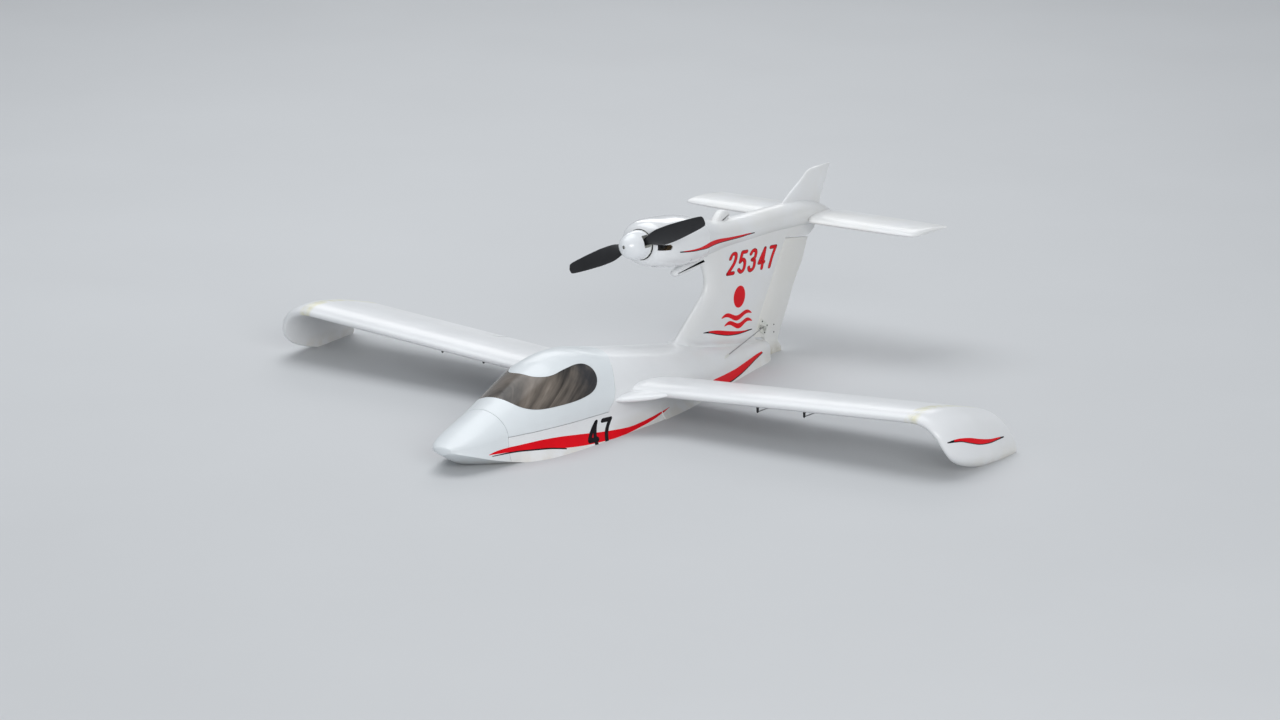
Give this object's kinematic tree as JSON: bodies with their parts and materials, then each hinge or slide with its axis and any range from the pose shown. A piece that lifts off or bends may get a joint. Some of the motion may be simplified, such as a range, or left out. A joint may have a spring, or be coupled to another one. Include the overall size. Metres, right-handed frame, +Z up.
{
  "type": "radio-controlled flying boat model",
  "caption": "Foam radio-controlled flying boat with a pylon-mounted motor pod over a raked fin, drooped tip floats, water rudder and lift-off cabin hatch.",
  "frame": {"origin": "on the centre plane at the still waterline, level with the wing root's leading edge", "axes": "+X to port, -Y to the nose, +Z up"},
  "size_m": [1.4194, 1.215, 0.3894],
  "materials": {
    "foam": "smooth white moulded foam",
    "gloss_shell": "glossy white moulded shell",
    "smoked_glazing": "smoked clear plastic",
    "propeller_plastic": "black moulded nylon, satin",
    "nylon": "white nylon",
    "steel_wire": "plain steel wire",
    "servo_plastic": "black moulded plastic",
    "battery_wrap": "blue shrink wrap",
    "plywood": "light plywood",
    "motor_metal": "machined can"
  },
  "bodies": {
    "airframe": {"aileron_pushrod_port": "steel_wire", "aileron_pushrod_starboard": "steel_wire", "aileron_servo_port": "servo_plastic", "aileron_servo_starboard": "servo_plastic", "battery": "battery_wrap", "battery_tray": "plywood", "cowl": "gloss_shell", "fin": "foam", "flap_pushrod_port": "steel_wire", "flap_pushrod_starboard": "steel_wire", "flap_servo_port": "servo_plastic", "flap_servo_starboard": "servo_plastic", "hull": "foam", "lower_scoop": "foam", "motor": "motor_metal", "motor_mount": "plywood", "nose_cone": "foam", "pod": "foam", "receiver_shelf": "plywood", "rudder_pushrod": "steel_wire", "stabiliser_port": "foam", "stabiliser_starboard": "foam", "tip_float_port": "foam", "tip_float_starboard": "foam", "top_fin": "foam", "top_stub": "foam", "wing_port": "foam", "wing_starboard": "foam"},
    "hatch": {"canopy_hatch": "foam", "cabin_glazing": "smoked_glazing"},
    "propeller": {"propeller_blades": "propeller_plastic", "spinner": "gloss_shell", "spinner_backplate": "nylon"},
    "rudder_body": {"rudder": "foam", "rudder_horn": "nylon"},
    "elevator_body": {"elevator_port": "foam", "elevator_starboard": "foam", "elevator_joiner": "steel_wire"},
    "port_aileron": {"aileron_port": "foam", "aileron_horn_port": "nylon"},
    "starboard_aileron": {"aileron_starboard": "foam", "aileron_horn_starboard": "nylon"},
    "port_flap": {"flap_port": "foam", "flap_horn_port": "nylon"},
    "starboard_flap": {"flap_starboard": "foam", "flap_horn_starboard": "nylon"}
  },
  "joints": [
    {"name": "propeller_spin", "type": "hinge", "parent": "airframe", "child": "propeller", "pos_m": [0, 0.1437, 0.2828], "axis": [0, 0.9965, -0.0837], "continuous": true},
    {"name": "rudder_hinge", "type": "hinge", "parent": "airframe", "child": "rudder_body", "pos_m": [0, 0.5125, 0.05], "axis": [0, 0.5491, 0.8358], "range_deg": [-28, 28]},
    {"name": "elevator_hinge", "type": "hinge", "parent": "airframe", "child": "elevator_body", "pos_m": [0, 0.747, 0.2378], "axis": [1, 0, 0], "range_deg": [-22, 22]},
    {"name": "aileron_hinge_port", "type": "hinge", "parent": "airframe", "child": "port_aileron", "pos_m": [0.44, 0.16864, 0.07628], "axis": [0.998, 0.0309, 0.056], "range_deg": [-20, 20]},
    {"name": "aileron_hinge_starboard", "type": "hinge", "parent": "airframe", "child": "starboard_aileron", "pos_m": [-0.44, 0.16864, 0.07628], "axis": [0.998, -0.0309, -0.056], "range_deg": [-20, 20]},
    {"name": "flap_hinge_port", "type": "hinge", "parent": "airframe", "child": "port_flap", "pos_m": [0.228, 0.16207, 0.06439], "axis": [0.998, 0.0309, 0.056], "range_deg": [-35, 0]},
    {"name": "flap_hinge_starboard", "type": "hinge", "parent": "airframe", "child": "starboard_flap", "pos_m": [-0.228, 0.16207, 0.06439], "axis": [0.998, -0.0309, -0.056], "range_deg": [-35, 0]},
    {"name": "hatch_lift", "type": "slide", "parent": "airframe", "child": "hatch", "axis": [0, 0, 1], "range_m": [0, 0.06]}
  ],
  "couplings": [
    {"joint": "aileron_hinge_starboard", "follows": "aileron_hinge_port", "ratio": -1},
    {"joint": "flap_hinge_starboard", "follows": "flap_hinge_port", "ratio": 1}
  ]
}
